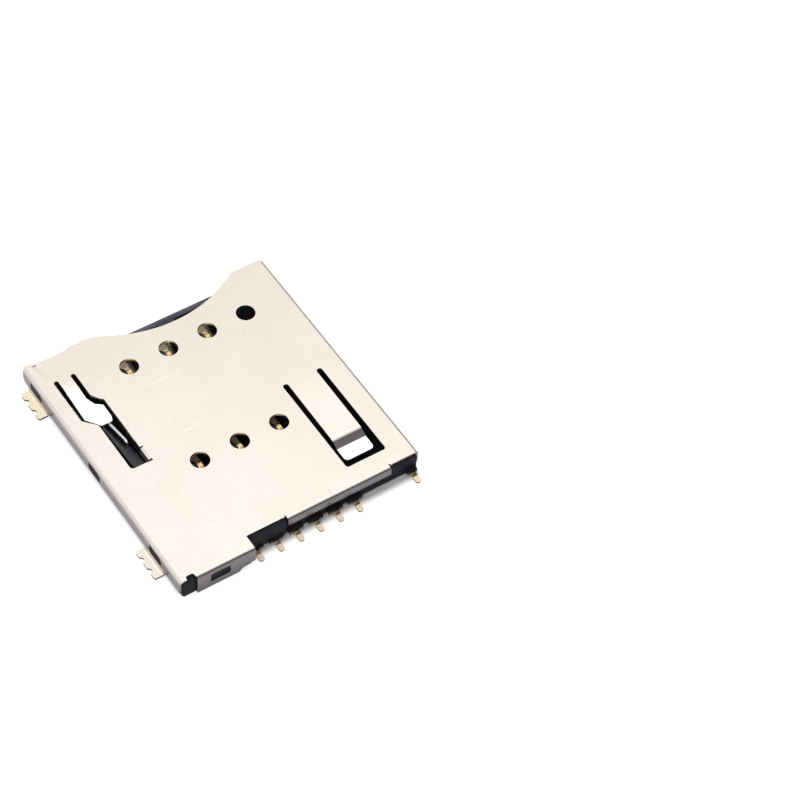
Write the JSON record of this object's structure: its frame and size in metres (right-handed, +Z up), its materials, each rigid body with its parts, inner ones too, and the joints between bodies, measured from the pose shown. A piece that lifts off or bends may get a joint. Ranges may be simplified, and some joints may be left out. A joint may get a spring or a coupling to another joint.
{
  "type": "sim card socket",
  "caption": "Low surface-mount card socket with a bent sheet shell, moulded base, spring contacts, a sprung slider and a wire that swings in its cam lane.",
  "frame": {"origin": "board plane under the middle of the footprint", "axes": "+Y the way the card goes in, +X the side of the eject mechanism, +Z up from the board"},
  "size_m": [0.0168, 0.0174, 0.0014],
  "materials": {
    "shell": "satin stainless sheet",
    "housing": "moulded black liquid crystal polymer",
    "contacts": "gold plated copper alloy",
    "slider": "moulded black polymer",
    "wire": "drawn stainless spring wire"
  },
  "bodies": {
    "frame": {"shell": "shell", "housing": "housing", "contact_front_a": "contacts", "contact_front_b": "contacts", "contact_front_c": "contacts", "contact_back_a": "contacts", "contact_back_b": "contacts", "contact_back_c": "contacts", "detect_terminal": "contacts", "eject_spring": "wire"},
    "slide": {"slider": "slider"},
    "wire": {"cam_pin": "wire"}
  },
  "joints": [
    {"name": "slider_slide", "type": "slide", "parent": "frame", "child": "slide", "axis": [0, 1, 0], "range_m": [0, 0.0033], "stiffness_N_per_m": 400, "deforming": ["eject_spring"]},
    {"name": "wire_swing", "type": "hinge", "parent": "frame", "child": "wire", "pos_m": [0.0061, -0.00708, 0.00084], "axis": [0, 0, -1], "range_deg": [0, 2.86]}
  ],
  "couplings": [
    {"joint": "wire_swing", "follows": "slider_slide", "rad_per_m": 15.08}
  ]
}
